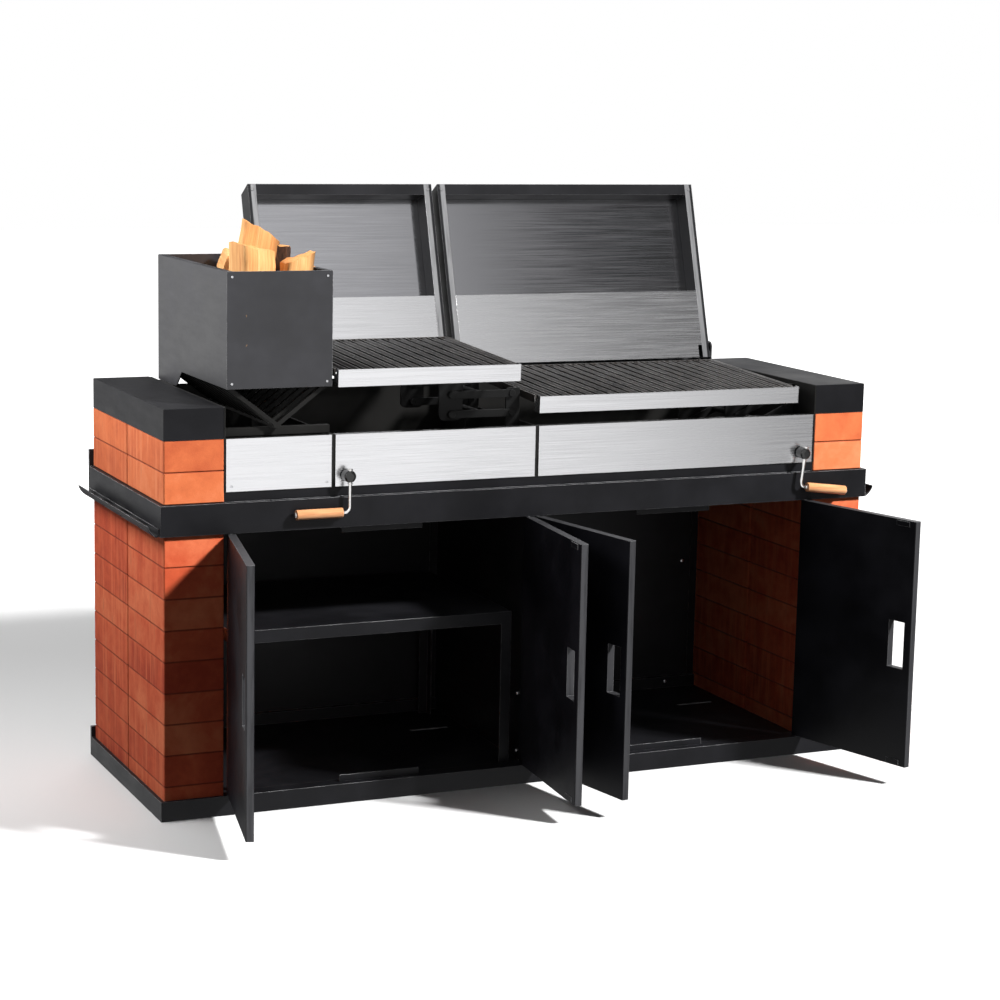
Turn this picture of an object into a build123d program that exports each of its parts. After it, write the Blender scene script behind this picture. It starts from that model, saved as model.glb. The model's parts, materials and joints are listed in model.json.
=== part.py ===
from build123d import *
import math
import os

# A free-standing charcoal and wood barbecue: brick columns in black steel frames, cabinets with four
# doors, a firebox with two crank-lifted grates, an ember basket and two rear-hinged lids.
# Millimetres. Origin at the centre of the plinth's underside, +X to the right along the front,
# +Y to the back, +Z up. The lids and the doors stand open, as the object is shown and used.

os.makedirs("parts", exist_ok=True)

# Bricks, laid dry in two stacks per column
brick_length = 290
brick_width = 140
brick_height = 72
brick_chamfer = 2
stack_gap = 8
lower_courses = 9
upper_courses = 2

# Steel frames
inner_width = 1532  # between the two brick columns
steel_reach = 10  # how far plinth and band stand out past the bricks
frame_sheet = 3
brick_clearance = 1
pad_thickness = 6
runner_width = 40  # middle runner that the plinth also stands on
rim_height = 46
rear_rim_height = 73
front_beam = 30  # depth of the front beams behind the brick face
rear_beam = 20
band_height = 70
rear_upstand = 41
firebox_sill = 23
cap_height = 71
cap_round = 2

# Cabinets
floor_drop = 3  # cabinet floor below the plinth's rim
floor_slot_length = 104
floor_slot_width = 12
floor_slot_inset = 45
floor_slot_setback = 200
divider_post = 18
divider_sheet = 3
back_sheet = 2
back_margin = 22
shelf_top = 417
shelf_width = 700
shelf_depth = 540
shelf_setback = 24
shelf_apron = 30
shelf_leg = 26
stop_length = 200
stop_sheet = 3
stop_reach = 16
bolt_radius = 5
bolt_head = 4

# Doors
door_thickness = 18
door_skin = 1.5
door_side_gap = 8
door_meeting_gap = 3
door_hinge_gap = 6
door_lift = 2  # gap above the plinth and below the band
door_pivot_inset = 9
door_round = 3
pin_radius = 4
pin_grip = 12
pin_head_radius = 6
pivot_clearance = 0.08
pull_from_pivot = 297
pull_width = 48
pull_bottom = 288
pull_height = 115
strike_width = 40
strike_height = 12
strike_thickness = 1.5
door_open_angles = (101.8, 85.0, 79.5, 105.5)

# Firebox
panel_widths = (251, 502)  # left and centre; the right one fills what is left
panel_gap = 9
panel_side_gap = 5
panel_height = 120
panel_depth = 20
panel_sheet = 2
bay_divider = 5
liner_sheet = 3
liner_back_height = 193
screw_radius = 3
screw_proud = 1.5

# Ember basket
basket_bottom_rise = 111  # heights above the top edge of the panels
basket_foot_rise = 73
basket_top_rise = 373
basket_depth = 530
basket_foot_start = 384
basket_slope_start = 340
basket_sheet = 3
basket_lip = 12
fire_bar_thickness = 12
fire_bar_width = 10
fire_bar_count = 12
fire_bar_rise = 18
support_bar = 18

# Grates and their lift
grate_widths = (455, 705)
grate_bar_counts = (15, 23)
grate_depth = 440
grate_tilt = 2.8
left_grate_inset = 5  # from the left end of the centre bay to the grate
right_grate_inset = 51  # from the right column to the grate
left_grate_rise = 108  # from the top edge of the panels to the grease channel
right_grate_rise = 30
channel_height = 40
channel_depth = 30
channel_sheet = 2
bar_width = 20
bar_height = 12
bar_sheet = 2
bar_seat = 26
rail_thickness = 4
cross_bar_width = 20
cross_bar_height = 6
cross_bar_places = (100, 340)
arm_length = 155
arm_spacing = 46
arm_width = 18
arm_sheet = 5
arm_tube_radius = 7
arm_pin_radius = 5
arm_clearance = 0.1
lug_gap = 2
lug_sheet = 6
lug_foot = 154  # how far a bracket reaches below its upper pin
carrier_width = 60
carrier_edge = 15
pivot_drop = 41  # carrier pin below the grease channel
left_pivot_inset = 25.5  # from the second bay divider
right_pivot_inset = 27  # from the right column
left_arm_angle = 0
right_arm_angle = -24

# Cranks
crank_drop = 94  # below the top edge of the panels
left_crank_inset = 26  # from the left end of the centre bay
right_crank_inset = 40  # from the right column
crank_shaft_radius = 6
crank_rod_radius = 4
crank_throw = 82
crank_bend = 12
crank_standoff = 26  # rod's distance in front of the panel
hub_radius = 14
hub_back = 4
bush_radius = 11
bush_length = 28
bush_nose_radius = 8
grip_radius = 11.5
grip_length = 112
grip_start = 18
right_crank_lean = 7

# Lids
lid_lean = 16.95
lid_height = 470
lid_setback = 58.4  # a point on the rim's face, from the back face of the bricks
lid_rise = 101  # the same point, above the top edge of the panels
lid_tail = 17  # how far a lid reaches below that point
lid_depth = 55
lid_sheet = 2
lid_rim = 21
lid_top_rim = 28
lid_top_draft = 14
lid_recess = 50
rivet_radius = 4
rivet_proud = 1.6
left_lid_insets = (9, 4.5)  # from the centre bay's left end and from the divider
right_lid_insets = (11.5, 9)  # from the divider and from the right column
splash_height = 180
splash_sheet = 1.5
splash_notch_width = 11
splash_notch_height = 33
hinge_pin_radius = 5
hinge_place = (12, -9)  # pins, up the lid from its origin and back from its rim
hinge_plate = 4
hinge_plate_drop = 105
hinge_plate_rise = 15
hinge_gap = 2

# Tool rails on the ends of the band
rail_sheet = 2.5
rail_leg = 18
rail_root_curve = 5
rail_root_turn = 120
rail_lip_curve = 40
rail_lip_turn = 45
rail_slot_count = 4
rail_slot_length = 70
rail_slot_reach = (13, 21)  # inner and outer edge of the hook slots, from the band's face

# Places worked out from the sizes above
depth = 2 * brick_length + stack_gap
front = -depth / 2
back = depth / 2
inner = inner_width / 2
outer = inner + brick_width
band_bottom = pad_thickness + lower_courses * brick_height
band_top = band_bottom + band_height
cap_bottom = band_top + upper_courses * brick_height
cap_top = cap_bottom + cap_height
sill_top = band_top + firebox_sill
panel_top = sill_top + panel_height
basket_bottom = panel_top + basket_bottom_rise
basket_foot = panel_top + basket_foot_rise
basket_top = panel_top + basket_top_rise
fire_bar_low = panel_top + fire_bar_rise
left_grate_z = panel_top + left_grate_rise
right_grate_z = panel_top + right_grate_rise
crank_height = panel_top - crank_drop
lid_origin_z = panel_top + lid_rise
floor_top = rim_height - floor_drop
firebox_floor_top = band_top + frame_sheet
back_face = back - rear_beam / 2
firebox_back = back_face - liner_sheet


def block(x0, x1, y0, y1, z0, z1, mode=Mode.ADD):
    """A box between two corners, in the current part."""
    with Locations(((x0 + x1) / 2, (y0 + y1) / 2, (z0 + z1) / 2)):
        Box(x1 - x0, y1 - y0, z1 - z0, mode=mode)


def save(shape, name):
    """Labels a finished piece and writes it as one STEP file."""
    shape.label = name
    export_step(shape, f"parts/{name}.step")


def group(shapes, name):
    """Several separate solids kept together under one name."""
    save(Compound(children=list(shapes)), name)


def domed_head(face, radius, height):
    """The head of a bolt, screw or rivet standing on a face."""
    with BuildPart() as head:
        with BuildSketch(face):
            Circle(radius)
        extrude(amount=height)
        fillet(head.faces().sort_by(Axis(face.origin, face.z_dir))[-1].edges(), height / 2)
    return head.part


# Brick columns: every brick is its own solid, two stacks deep
with BuildPart() as brick:
    Box(brick_width, brick_length, brick_height)
    chamfer(brick.edges(), brick_chamfer)


def brick_column(x_side, bottom, courses, name):
    bricks = []
    x = x_side * (inner + brick_width / 2)
    for y in (front + brick_length / 2, back - brick_length / 2):
        for course in range(courses):
            z = bottom + (course + 0.5) * brick_height
            bricks.append(brick.part.moved(Location((x, y, z))))
    group(bricks, name)


brick_column(-1, pad_thickness, lower_courses, "lower_bricks_left")
brick_column(1, pad_thickness, lower_courses, "lower_bricks_right")
brick_column(-1, band_top, upper_courses, "upper_bricks_left")
brick_column(1, band_top, upper_courses, "upper_bricks_right")

# Where the doors hinge: pivot x, direction of the closed door (+1 to the right), opening angle
door_width = (inner_width - 2 * door_side_gap - 2 * door_meeting_gap - door_hinge_gap) / 4
outer_pivot = inner - door_side_gap - door_pivot_inset
inner_pivot = door_hinge_gap / 2 + door_pivot_inset
door_hinges = (
    (-outer_pivot, 1, door_open_angles[0]),
    (-inner_pivot, -1, door_open_angles[1]),
    (inner_pivot, 1, door_open_angles[2]),
    (outer_pivot, -1, door_open_angles[3]),
)
door_pivot_y = front - steel_reach + door_thickness / 2

# Plinth: pads under the columns, a raised rim round them, hollow sills and the cabinet floor
with BuildPart() as plinth:
    reach = outer + steel_reach
    block(-reach, reach, front - steel_reach, back + steel_reach, 0, rim_height)
    block(-reach, reach, back + brick_clearance, back + steel_reach, rim_height, rear_rim_height)
    for side in (-1, 1):
        x_in = side * (inner - brick_clearance)
        x_out = side * (outer + brick_clearance)
        block(min(x_in, x_out), max(x_in, x_out), front - brick_clearance, back + brick_clearance,
              pad_thickness, rim_height, Mode.SUBTRACT)
    block(-inner, inner, back - rear_beam, back + brick_clearance, rim_height, rear_rim_height)
    hollow = inner - frame_sheet
    sill_front = front - steel_reach + frame_sheet
    sill_back = back + steel_reach - frame_sheet
    block(-hollow, hollow, sill_front, front + front_beam - frame_sheet, 0, rim_height - frame_sheet,
          Mode.SUBTRACT)
    block(-hollow, hollow, back - rear_beam + frame_sheet, sill_back, 0, rear_rim_height - frame_sheet,
          Mode.SUBTRACT)
    block(-hollow, hollow, front + front_beam, back - rear_beam, 0, floor_top - frame_sheet,
          Mode.SUBTRACT)
    block(-inner, inner, front + front_beam, back - rear_beam, floor_top, rim_height, Mode.SUBTRACT)
    for pivot_x, _, _ in door_hinges:
        with Locations((pivot_x, door_pivot_y, rim_height - frame_sheet / 2)):
            Cylinder(pin_radius, frame_sheet, mode=Mode.SUBTRACT)
    slot_reach = floor_slot_inset + floor_slot_length / 2
    for slot_x in (-slot_reach, inner - slot_reach):
        with BuildSketch(Plane.XY.offset(floor_top)):
            with Locations((slot_x, back - floor_slot_setback)):
                SlotOverall(floor_slot_length, floor_slot_width)
        extrude(amount=-frame_sheet, mode=Mode.SUBTRACT)
    block(-runner_width / 2, runner_width / 2, front + front_beam, back - rear_beam, 0, pad_thickness)
    half_web = frame_sheet / 2
    block(-half_web, half_web, front + front_beam, back - rear_beam, 0, floor_top - frame_sheet)
save(plinth.part, "plinth")

# Mid frame: the black band between lower and upper bricks, with the sill under the front panels
with BuildPart() as mid_frame:
    reach = outer + steel_reach
    block(-reach, reach, front - steel_reach, back + steel_reach, band_bottom, band_top)
    block(-reach, reach, back + brick_clearance, back + steel_reach, band_top, band_top + rear_upstand)
    block(-reach + frame_sheet, reach - frame_sheet, sill_front, sill_back, band_bottom + frame_sheet,
          band_top - frame_sheet, Mode.SUBTRACT)
    block(-inner, inner, front + front_beam, back - rear_beam, band_bottom, band_top, Mode.SUBTRACT)
    block(-inner, inner, front + frame_sheet, front + front_beam, band_top, sill_top)
    block(-inner, inner, front + 2 * frame_sheet, front + front_beam, band_top, sill_top - frame_sheet,
          Mode.SUBTRACT)
    for pivot_x, _, _ in door_hinges:
        with Locations((pivot_x, door_pivot_y, band_bottom + frame_sheet / 2)):
            Cylinder(pin_radius, frame_sheet, mode=Mode.SUBTRACT)
save(mid_frame.part, "mid_frame")

# Door pins: headed pins pushed through the plinth and the band
pins = []
for pivot_x, _, _ in door_hinges:
    for seat, away in ((rim_height - frame_sheet, 1), (band_bottom + frame_sheet, -1)):
        with BuildPart() as door_pin:
            with Locations((pivot_x, door_pivot_y, seat - away * frame_sheet / 2)):
                Cylinder(pin_head_radius, frame_sheet)
            pin_length = frame_sheet + door_lift + pin_grip
            with Locations((pivot_x, door_pivot_y, seat + away * pin_length / 2)):
                Cylinder(pin_radius, pin_length)
        pins.append(door_pin.part)
group(pins, "door_pins")


# Tool rails: a bent strip on each end of the band, curling out and up, with slots for hooks
def tool_rail(side, name):
    face_x = side * (outer + steel_reach)
    section = Plane(origin=(face_x, front, band_bottom), x_dir=(side, 0, 0), z_dir=(0, -side, 0))
    middle = rail_sheet / 2
    with BuildPart() as rail:
        with BuildSketch(section):
            with BuildLine():
                leg = Line((middle, rail_leg), (middle, rail_root_curve))
                root = JernArc(leg @ 1, leg % 1, rail_root_curve, rail_root_turn)
                JernArc(root @ 1, root % 1, rail_lip_curve, rail_lip_turn)
            trace(line_width=rail_sheet)
        extrude(amount=-side * depth)
        slot_pitch = depth / rail_slot_count
        near, far = rail_slot_reach
        for index in range(rail_slot_count):
            y = front + (index + 0.5) * slot_pitch
            x_near = face_x + side * near
            x_far = face_x + side * far
            half = rail_slot_length / 2
            top = band_bottom + rail_lip_curve
            x_low, x_high = sorted((x_near, x_far))
            block(x_low, x_high, y - half, y + half, band_bottom - rail_leg, top, Mode.SUBTRACT)
    save(rail.part, name)


tool_rail(-1, "tool_rail_left")
tool_rail(1, "tool_rail_right")


# Caps: folded steel boxes, open underneath, on top of the upper bricks
def column_cap(side, name):
    x = side * (inner + brick_width / 2)
    with BuildPart() as cap:
        with Locations((x, 0, (cap_bottom + cap_top) / 2)):
            Box(brick_width, depth, cap_height)
        top_edges = cap.edges().group_by(Axis.Z)[-1]
        upright_edges = cap.edges().filter_by(Axis.Z)
        fillet(top_edges + upright_edges, cap_round)
        with Locations((x, 0, (cap_bottom + cap_top) / 2 - frame_sheet)):
            inside = 2 * frame_sheet
            Box(brick_width - inside, depth - inside, cap_height, mode=Mode.SUBTRACT)
    save(cap.part, name)


column_cap(-1, "cap_left")
column_cap(1, "cap_right")

# Cabinet divider: a square post behind the meeting doors and a sheet back to the rear wall
with BuildPart() as divider:
    post = divider_post / 2
    wall = frame_sheet
    post_front = front - steel_reach + door_thickness + door_meeting_gap + 1
    post_back = front + front_beam
    block(-post, post, post_front, post_back, rim_height, band_bottom)
    block(-post + wall, post - wall, post_front + wall, post_back - wall, rim_height, band_bottom,
          Mode.SUBTRACT)
    half = divider_sheet / 2
    block(-half, half, post_back, back - rear_beam, floor_top, band_top)
    block(-half, half, back - rear_beam, back_face, rear_rim_height, band_bottom)
save(divider.part, "cabinet_divider")


# Cabinet backs: one sheet per cabinet, stiffened by a second skin set in from its edges
cabinet_backs = []
for side in (-1, 1):
    x_low, x_high = sorted((side * divider_sheet / 2, side * inner))
    skin = back_sheet
    with BuildPart() as panel:
        block(x_low, x_high, back_face - skin, back_face, rear_rim_height, band_bottom)
        block(x_low + back_margin, x_high - back_margin, back_face - 2 * skin, back_face - skin,
              rear_rim_height + skin, band_bottom - skin)
    cabinet_backs.append(panel.part)
group(cabinet_backs, "cabinet_backs")

# Shelf: a bench in the left cabinet, a folded top with an apron and four angle legs
with BuildPart() as shelf:
    x0 = -inner + shelf_setback + 6
    x1 = x0 + shelf_width
    y0 = front + front_beam + 4
    y1 = y0 + shelf_depth - front_beam
    wall = frame_sheet
    block(x0, x1, y0, y1, shelf_top - shelf_apron, shelf_top)
    block(x0 + wall, x1 - wall, y0 + wall, y1 - wall, shelf_top - shelf_apron, shelf_top - wall,
          Mode.SUBTRACT)
    for x_a, x_b, x_web in ((x0, x0 + shelf_leg, x0), (x1 - shelf_leg, x1, x1 - wall)):
        for y_a, y_b, y_web in ((y0, y0 + shelf_leg, y0), (y1 - shelf_leg, y1, y1 - wall)):
            block(x_a, x_b, y_web, y_web + wall, floor_top, shelf_top - wall)
            block(x_web, x_web + wall, y_a, y_b, floor_top, shelf_top - wall)
save(shelf.part, "cabinet_shelf")

# Door stops: short upright plates behind the middle of each pair of doors, above and below
stops = []
pair_centre = (inner - door_side_gap + door_hinge_gap / 2) / 2
stop_face = front - steel_reach + door_thickness + strike_thickness + 1
for x in (-pair_centre, pair_centre):
    for z_low, z_high in ((rim_height, rim_height + stop_reach), (band_bottom - stop_reach, band_bottom)):
        with BuildPart() as stop:
            half = stop_length / 2
            block(x - half, x + half, stop_face, stop_face + stop_sheet, z_low, z_high)
        stops.append(stop.part)
group(stops, "door_stops")

# Cabinet bolts: domed heads on the divider and on the rear wall
bolt_faces = (
    Plane(origin=(-divider_sheet / 2, front + 64, 206), z_dir=(-1, 0, 0)),
    Plane(origin=(-divider_sheet / 2, front + 64, 62), z_dir=(-1, 0, 0)),
    Plane(origin=(719, back_face - 2 * back_sheet, 392), z_dir=(0, -1, 0)),
    Plane(origin=(-719, back_face - 2 * back_sheet, 392), z_dir=(0, -1, 0)),
    Plane(origin=(675, back - rear_beam, 60), z_dir=(0, -1, 0)),
    Plane(origin=(-675, back - rear_beam, 60), z_dir=(0, -1, 0)),
)
group([domed_head(face, bolt_radius, bolt_head) for face in bolt_faces], "cabinet_bolts")


# Doors: thin steel boxes, each on two pins, with a through finger pull near the free edge
def door(index, name):
    pivot_x, direction, opening = door_hinges[index]
    angle = math.radians(-opening if direction > 0 else 180 + opening)
    hinge = Plane(
        origin=(pivot_x, door_pivot_y, rim_height + door_lift),
        x_dir=(math.cos(angle), math.sin(angle), 0),
        z_dir=(0, 0, 1),
    )
    height = band_bottom - rim_height - 2 * door_lift
    x0 = -door_pivot_inset
    x1 = door_width - door_pivot_inset
    half = door_thickness / 2
    inner_face = direction * half
    pull_low = pull_bottom - rim_height - door_lift
    pull_high = pull_low + pull_height
    pull_end = pull_from_pivot + pull_width
    skin = door_skin
    pin_block = pin_radius + 3
    with BuildPart(hinge) as panel:
        block(x0, x1, -half, half, 0, height)
        fillet(panel.edges().filter_by(Axis.Z), door_round)
        block(x0 + skin, x1 - skin, -half + skin, half - skin, skin, height - skin, Mode.SUBTRACT)
        block(pull_from_pivot - skin, pull_end + skin, -half, half, pull_low - skin, pull_high + skin)
        block(pull_from_pivot, pull_end, -half, half, pull_low, pull_high, Mode.SUBTRACT)
        for z0, z1 in ((0, pin_grip + 2), (height - pin_grip - 2, height)):
            block(-pin_block, pin_block, -pin_block, pin_block, z0, z1)
        for z0, z1 in ((0, pin_grip), (height - pin_grip, height)):
            with Locations((0, 0, (z0 + z1) / 2)):
                Cylinder(pin_radius + pivot_clearance, z1 - z0, mode=Mode.SUBTRACT)
        for x in (x1 / 3, 2 * x1 / 3):
            with Locations((x, 0, skin / 2)):
                Cylinder(skin * 2, skin, mode=Mode.SUBTRACT)
    strike_middle = x1 - strike_width
    strikes = []
    for z0 in (skin * 2, height - skin * 2 - strike_height):
        with BuildPart(hinge) as strike:
            y0, y1 = sorted((inner_face, inner_face + direction * strike_thickness))
            half_width = strike_width / 2
            block(strike_middle - half_width, strike_middle + half_width, y0, y1, z0, z0 + strike_height)
        strikes.append(strike.part)
    group([panel.part] + strikes, name)


door(0, "door_outer_left")
door(1, "door_inner_left")
door(2, "door_inner_right")
door(3, "door_outer_right")

# Firebox: floor, a liner on three sides and two dividers between the bays
with BuildPart() as firebox_floor:
    block(-inner, inner, front + front_beam, back_face, band_top, firebox_floor_top)
save(firebox_floor.part, "firebox_floor")

with BuildPart() as firebox_liner:
    for side in (-1, 1):
        x_low, x_high = sorted((side * inner, side * (inner - liner_sheet)))
        block(x_low, x_high, front + front_beam, back_face, firebox_floor_top, cap_top)
        block(x_low, x_high, front, front + front_beam, sill_top, cap_top)
    block(-inner, inner, firebox_back, back_face, firebox_floor_top, firebox_floor_top + liner_back_height)
save(firebox_liner.part, "firebox_liner")

bay_edges = [-inner + panel_side_gap]
for width in panel_widths:
    bay_edges.append(bay_edges[-1] + width + panel_gap)
bay_edges.append(inner - panel_side_gap + panel_gap)
divider_centres = [edge - panel_gap / 2 for edge in bay_edges[1:3]]
left_grate_x = bay_edges[1] + left_grate_inset
right_grate_x = inner - right_grate_inset - grate_widths[1]
left_pivot_x = divider_centres[1] - left_pivot_inset
right_pivot_x = inner - right_pivot_inset
left_crank_x = bay_edges[1] + left_crank_inset
right_crank_x = inner - right_crank_inset
left_lid_span = (bay_edges[1] + left_lid_insets[0], divider_centres[1] - left_lid_insets[1])
right_lid_span = (divider_centres[1] + right_lid_insets[0], inner - right_lid_insets[1])

bay_dividers = []
for x in divider_centres:
    with BuildPart() as bay_wall:
        half = bay_divider / 2
        block(x - half, x + half, front + front_beam, firebox_back, firebox_floor_top, panel_top)
        block(x - half, x + half, front + panel_sheet, front + front_beam, sill_top, panel_top)
    bay_dividers.append(bay_wall.part)
group(bay_dividers, "bay_dividers")


# Front panels: stainless pans standing on the sill, bored where a crank shaft comes through
def front_panel(index, crank_x, name):
    x0 = bay_edges[index]
    x1 = bay_edges[index + 1] - panel_gap
    sheet = panel_sheet
    with BuildPart() as panel:
        block(x0, x1, front, front + panel_depth, sill_top, panel_top)
        block(x0 + sheet, x1 - sheet, front + sheet, front + panel_depth, sill_top + sheet,
              panel_top - sheet, Mode.SUBTRACT)
        if crank_x is not None:
            with BuildSketch(Plane(origin=(crank_x, front, crank_height), z_dir=(0, 1, 0))):
                Circle(bush_nose_radius)
            extrude(amount=sheet, mode=Mode.SUBTRACT)
    save(panel.part, name)


front_panel(0, None, "front_panel_left")
front_panel(1, left_crank_x, "front_panel_centre")
front_panel(2, right_crank_x, "front_panel_right")


def screw_head(x, y, z):
    """A low domed screw head on a face that looks to the front."""
    return domed_head(Plane(origin=(x, y, z), z_dir=(0, -1, 0)), screw_radius, screw_proud)


screw_inset = 12
panel_screws = []
for x in (bay_edges[0] + screw_inset, bay_edges[0] + panel_widths[0] - screw_inset):
    panel_screws.append(screw_head(x, front, sill_top + screw_inset))
group(panel_screws, "panel_screws")

# Ember basket: side plates with rear feet, front and back sheets, and a V of fire bars inside
basket_x0 = bay_edges[0] + 1
basket_x1 = bay_edges[0] + panel_widths[0] - 1
basket_sides = []
for x_low in (basket_x0, basket_x1 - basket_sheet):
    outline = Plane(origin=(x_low, front, 0), x_dir=(0, 1, 0), z_dir=(1, 0, 0))
    with BuildPart() as side_plate:
        with BuildSketch(outline):
            with BuildLine():
                Polyline(
                    (basket_sheet, basket_bottom),
                    (basket_slope_start, basket_bottom),
                    (basket_foot_start, basket_foot),
                    (basket_depth, basket_foot),
                    (basket_depth, basket_top),
                    (basket_sheet, basket_top),
                    close=True,
                )
            make_face()
        extrude(amount=basket_sheet)
        inward = 1 if x_low == basket_x0 else -1
        lip_edge = x_low + basket_sheet if inward > 0 else x_low
        lip_x0, lip_x1 = sorted((lip_edge, lip_edge + inward * basket_lip))
        block(lip_x0, lip_x1, front + basket_sheet, front + basket_depth - basket_sheet,
              basket_top - basket_sheet, basket_top)
        rim = side_plate.edges().filter_by(Axis.Y).group_by(Axis.Z)[-1].sort_by(Axis.X)
        fillet(rim[0] if inward > 0 else rim[-1], basket_sheet * 0.9)
    basket_sides.append(side_plate.part)
group(basket_sides, "basket_sides")

with BuildPart() as basket_front:
    block(basket_x0, basket_x1, front, front + basket_sheet, basket_bottom, basket_top)
save(basket_front.part, "basket_front")

with BuildPart() as basket_back:
    block(basket_x0 + basket_sheet, basket_x1 - basket_sheet, front + basket_depth - basket_sheet,
          front + basket_depth, basket_foot, basket_top)
save(basket_back.part, "basket_back")

# The V sits between the side plates: bars across, a rail under each upper end and one at the bottom
basket_middle = (basket_x0 + basket_x1) / 2
vee_half = (basket_x1 - basket_x0) / 2 - basket_sheet
with BuildPart() as fire_bars:
    for index in range(fire_bar_count):
        spacing = (basket_depth - 2 * support_bar - fire_bar_width) / (fire_bar_count - 1)
        y = front + support_bar + index * spacing
        with BuildSketch(Plane(origin=(basket_middle, y, 0), x_dir=(1, 0, 0), z_dir=(0, -1, 0))):
            with BuildLine():
                Polyline(
                    (-vee_half, basket_bottom),
                    (0, fire_bar_low),
                    (vee_half, basket_bottom),
                    (vee_half, basket_bottom + fire_bar_thickness),
                    (0, fire_bar_low + fire_bar_thickness),
                    (-vee_half, basket_bottom + fire_bar_thickness),
                    close=True,
                )
            make_face()
        extrude(amount=-fire_bar_width)
    y0 = front + support_bar
    y1 = front + basket_depth - support_bar
    block(basket_middle - 8, basket_middle + 8, y0, y1, fire_bar_low, fire_bar_low + 6)
    for side in (-1, 1):
        x_low, x_high = sorted((basket_middle + side * vee_half, basket_middle + side * (vee_half - 8)))
        block(x_low, x_high, y0, y1, basket_bottom, basket_bottom + fire_bar_thickness)
save(fire_bars.part, "fire_bars")

basket_screws = []
for x in (basket_x0 + screw_inset, basket_x1 - screw_inset):
    for z in (basket_bottom + screw_inset, basket_top - screw_inset):
        basket_screws.append(screw_head(x, front, z))
group(basket_screws, "basket_screws")

# Basket supports: a cross bar under the V at the front and a ledge under each rear foot
bay_x0 = -inner + liner_sheet
bay_x1 = divider_centres[0] + bay_divider / 2
foot_y0 = front + basket_foot_start + support_bar
foot_y1 = front + basket_depth - support_bar
with BuildPart() as front_support:
    block(bay_x0, bay_x1, front + 2 * support_bar, front + 3 * support_bar, panel_top, fire_bar_low)
with BuildPart() as left_ledge:
    block(bay_x0, basket_x0 + basket_lip, foot_y0, foot_y1, basket_foot - frame_sheet, basket_foot)
with BuildPart() as right_ledge:
    block(basket_x1 - basket_lip, bay_x1, foot_y0, foot_y1, basket_foot - frame_sheet, basket_foot)
    block(bay_x1 - bay_divider, bay_x1, foot_y0, foot_y1, panel_top, basket_foot - frame_sheet)
group([front_support.part, left_ledge.part, right_ledge.part], "basket_supports")


# A grate: V-section bars on two cross bars inside a frame, draining into a channel at the front
def tilted(x, z):
    """The grate's own plane: x across, y up the slope to the back, z square to the bars."""
    lean = math.radians(grate_tilt)
    return Plane(origin=(x, front, z), x_dir=(1, 0, 0), z_dir=(0, -math.sin(lean), math.cos(lean)))


def grate(side_name, width, bar_count, left_x, channel_z):
    plane = tilted(left_x, channel_z)
    sheet = channel_sheet
    with BuildPart(plane) as channel:
        block(0, width, 0, channel_depth, 0, channel_height)
        block(sheet, width - sheet, sheet, channel_depth - sheet, sheet, channel_height, Mode.SUBTRACT)
        block(sheet, width - sheet, channel_depth - sheet, channel_depth, bar_seat, channel_height,
              Mode.SUBTRACT)
        block(0, sheet, channel_depth / 2, channel_depth, bar_seat, channel_height, Mode.SUBTRACT)
        block(width - sheet, width, channel_depth / 2, channel_depth, bar_seat, channel_height,
              Mode.SUBTRACT)
    save(channel.part, f"{side_name}_grease_channel")

    with BuildPart(plane) as frame:
        rail = rail_thickness
        seat = bar_seat - cross_bar_height
        block(0, rail, channel_depth, grate_depth, seat, bar_seat + bar_height)
        block(width - rail, width, channel_depth, grate_depth, seat, bar_seat + bar_height)
        block(rail, width - rail, grate_depth - rail, grate_depth, seat, bar_seat + bar_height)
        for y in cross_bar_places:
            block(rail, width - rail, y - cross_bar_width / 2, y + cross_bar_width / 2, seat, bar_seat)
    save(frame.part, f"{side_name}_grate_frame")

    pitch = (width - 2 * rail_thickness) / bar_count
    half = bar_width / 2
    bars = []
    for index in range(bar_count):
        x = rail_thickness + (index + 0.5) * pitch
        section = Plane(origin=plane.from_local_coords((x, 0, bar_seat)), x_dir=(1, 0, 0),
                        z_dir=plane.y_dir)
        with BuildPart() as bar:
            with BuildSketch(section.offset(2 * channel_sheet)):
                with BuildLine():
                    Polyline(
                        (-half, -bar_height),
                        (-bar_sheet, 0),
                        (bar_sheet, 0),
                        (half, -bar_height),
                        (half - bar_sheet, -bar_height),
                        (0, -bar_sheet),
                        (-half + bar_sheet, -bar_height),
                        close=True,
                    )
                make_face()
            extrude(amount=grate_depth - rail_thickness - 2 * channel_sheet)
        bars.append(bar.part)
    group(bars, f"{side_name}_grate_bars")
    return plane


left_plane = grate("left", grate_widths[0], grate_bar_counts[0], left_grate_x, left_grate_z)
right_plane = grate("right", grate_widths[1], grate_bar_counts[1], right_grate_x, right_grate_z)


# The lift: two pairs of parallel arms on a bracket at the right of the bay carry plates welded under
# the grate's cross bars, so the grate rises and falls level
arm_planes = [front + y for y in cross_bar_places]
arm_front = -arm_sheet - lug_gap  # the arms run in front of the lugs


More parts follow.
